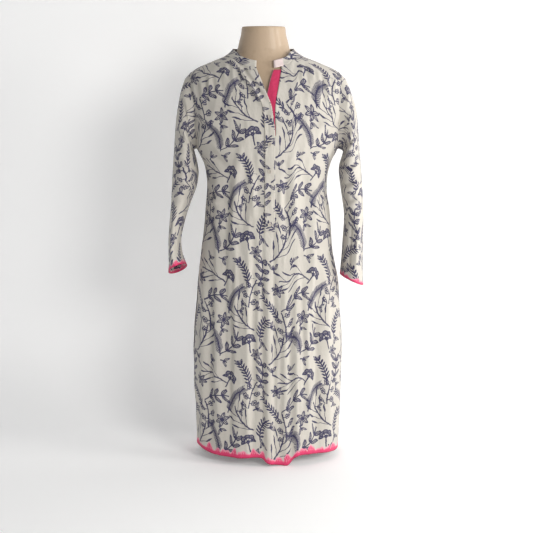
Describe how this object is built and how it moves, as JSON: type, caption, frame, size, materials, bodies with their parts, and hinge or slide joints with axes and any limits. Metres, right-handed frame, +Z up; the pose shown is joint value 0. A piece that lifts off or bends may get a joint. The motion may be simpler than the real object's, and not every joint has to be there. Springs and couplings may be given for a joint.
{
  "type": "kurta tunic on a dress form",
  "caption": "Straight cotton kurta tunic with three-quarter sleeves and a half-open placket, standing on a limbless dress form.",
  "frame": {"origin": "on the floor under the middle of the whole object", "axes": "+Z up, the front faces -Y, +X is the wearer's left"},
  "size_m": [0.477, 0.2438, 1.049],
  "materials": {
    "printed_cotton": "cream cotton with an indigo line print of leaves and flowers",
    "pink_cotton": "plain deep pink cotton",
    "button_shell": "smoky shell buttons",
    "form_skin": "smooth beige dress form",
    "stand_metal": "dark painted steel"
  },
  "bodies": {
    "root": {"front": "printed_cotton", "back": "printed_cotton", "yoke_left": "printed_cotton", "yoke_right": "printed_cotton", "neckband": "printed_cotton", "placket_overlap": "printed_cotton", "placket_underlap": "pink_cotton", "sleeve_left": "printed_cotton", "sleeve_right": "printed_cotton", "button_1": "button_shell", "button_2": "button_shell", "button_3": "button_shell", "button_4": "button_shell", "button_5": "button_shell", "form_torso": "form_skin", "form_pole": "stand_metal", "form_base": "stand_metal"}
  },
  "joints": []
}
